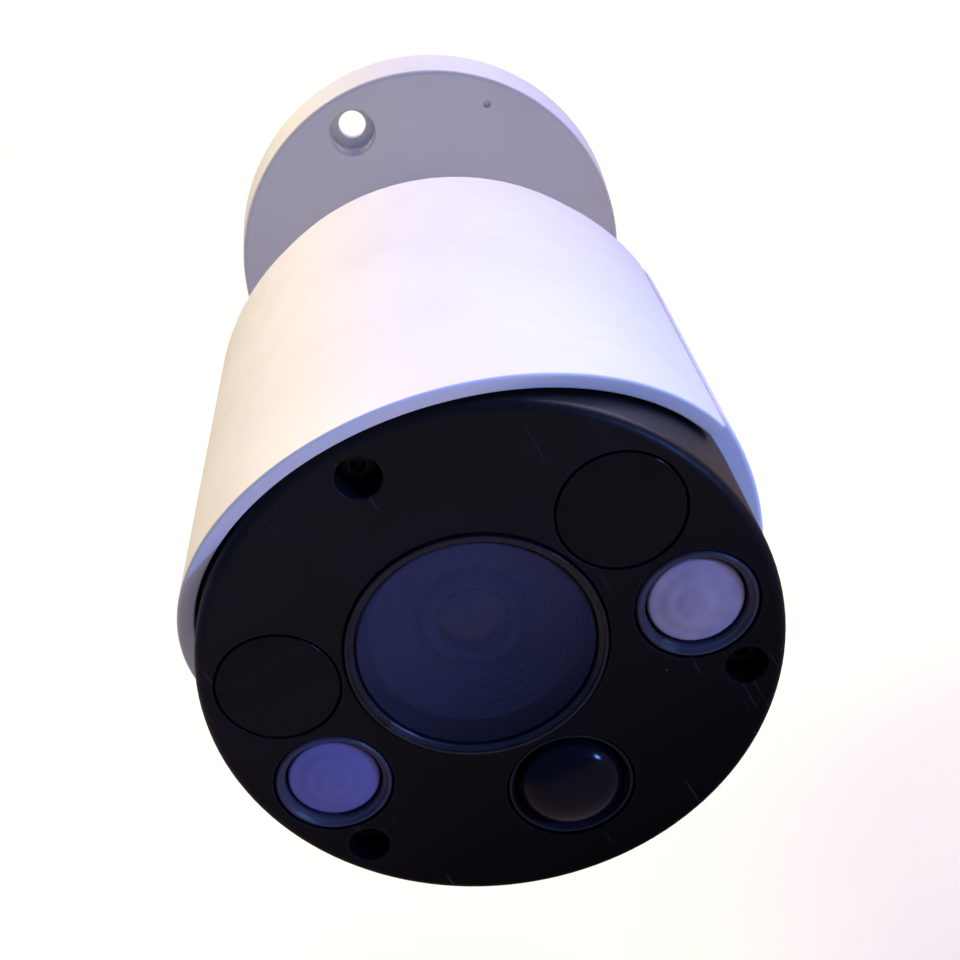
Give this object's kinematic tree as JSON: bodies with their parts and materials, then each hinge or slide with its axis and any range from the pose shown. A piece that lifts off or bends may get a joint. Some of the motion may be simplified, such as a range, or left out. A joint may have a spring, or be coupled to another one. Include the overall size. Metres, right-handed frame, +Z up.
{
  "type": "floodlight security camera",
  "caption": "Round camera with spotlights, infrared windows and a motion sensor in its face, under a sun hood, on a wall bracket that pans, tilts and rolls.",
  "frame": {"origin": "centre of the wall base, in the plane of the wall", "axes": "+Z up, -Y out of the wall along the camera's view, +X to the right as seen from in front of the camera"},
  "size_m": [0.0872, 0.1766, 0.0872],
  "materials": {
    "white_shell": "satin",
    "white_bracket": "satin",
    "black_face": "satin",
    "inner_black": "matte",
    "window_glass": "gloss",
    "lens_glass": "gloss",
    "ir_window": "gloss",
    "trim_ring": "satin",
    "spot_lens": "satin",
    "spot_bezel": "satin",
    "pir_dome": "gloss",
    "pir_ring": "satin",
    "sensor_can": "satin",
    "led_chip": "satin",
    "circuit_board": "satin",
    "black_screw": "satin",
    "steel": "satin",
    "chassis_alloy": "satin",
    "seal_rubber": "matte"
  },
  "bodies": {
    "base": {"base_plate": "white_shell", "base_gasket": "seal_rubber"},
    "arm": {"bracket_arm": "white_bracket", "tilt_bolt": "steel", "tilt_nut": "steel", "pan_bolt": "steel", "pan_washer": "steel"},
    "knuckle": {"tilt_lug": "white_bracket"},
    "camera_body": {"front_cap": "black_face", "face_screw_top": "black_screw", "face_screw_right": "black_screw", "face_screw_left": "black_screw", "lens_trim_ring": "trim_ring", "lens_window": "window_glass", "lens_baffle": "inner_black", "lens_barrel": "inner_black", "lens_front_element": "lens_glass", "lens_holder": "inner_black", "image_sensor": "inner_black", "sensor_board": "circuit_board", "sensor_frame": "inner_black", "ir_window_right": "ir_window", "ir_window_left": "ir_window", "ir_led_right": "ir_window", "ir_led_left": "ir_window", "spot_bezel_right": "spot_bezel", "spot_bezel_left": "spot_bezel", "spot_lens_right": "spot_lens", "spot_lens_left": "spot_lens", "spot_led_right": "led_chip", "spot_led_left": "led_chip", "pir_ring": "pir_ring", "pir_dome": "pir_dome", "pir_sensor": "sensor_can", "light_board": "circuit_board", "body_housing": "white_shell", "front_gasket": "seal_rubber", "sun_hood": "white_shell", "chassis": "chassis_alloy", "main_board": "circuit_board", "heat_block": "chassis_alloy", "board_spacer_right": "steel", "board_spacer_left": "steel", "board_screw_right": "steel", "board_screw_left": "steel", "rear_gasket": "seal_rubber", "rear_cover": "white_shell", "rear_screw_top": "steel", "rear_screw_right": "steel", "rear_screw_left": "steel", "cable_gland": "seal_rubber", "gland_nut": "steel", "roll_collar": "white_shell"}
  },
  "joints": [
    {"name": "base_pan", "type": "hinge", "parent": "base", "child": "arm", "pos_m": [0, -0.018, 0], "axis": [0, 1, 0], "range_deg": [-180, 180]},
    {"name": "tilt", "type": "hinge", "parent": "arm", "child": "knuckle", "pos_m": [0, -0.05, 0], "axis": [1, 0, 0], "range_deg": [-70, 70]},
    {"name": "body_roll", "type": "hinge", "parent": "knuckle", "child": "camera_body", "pos_m": [0, -0.07, 0], "axis": [0, 1, 0], "range_deg": [-180, 180]}
  ]
}
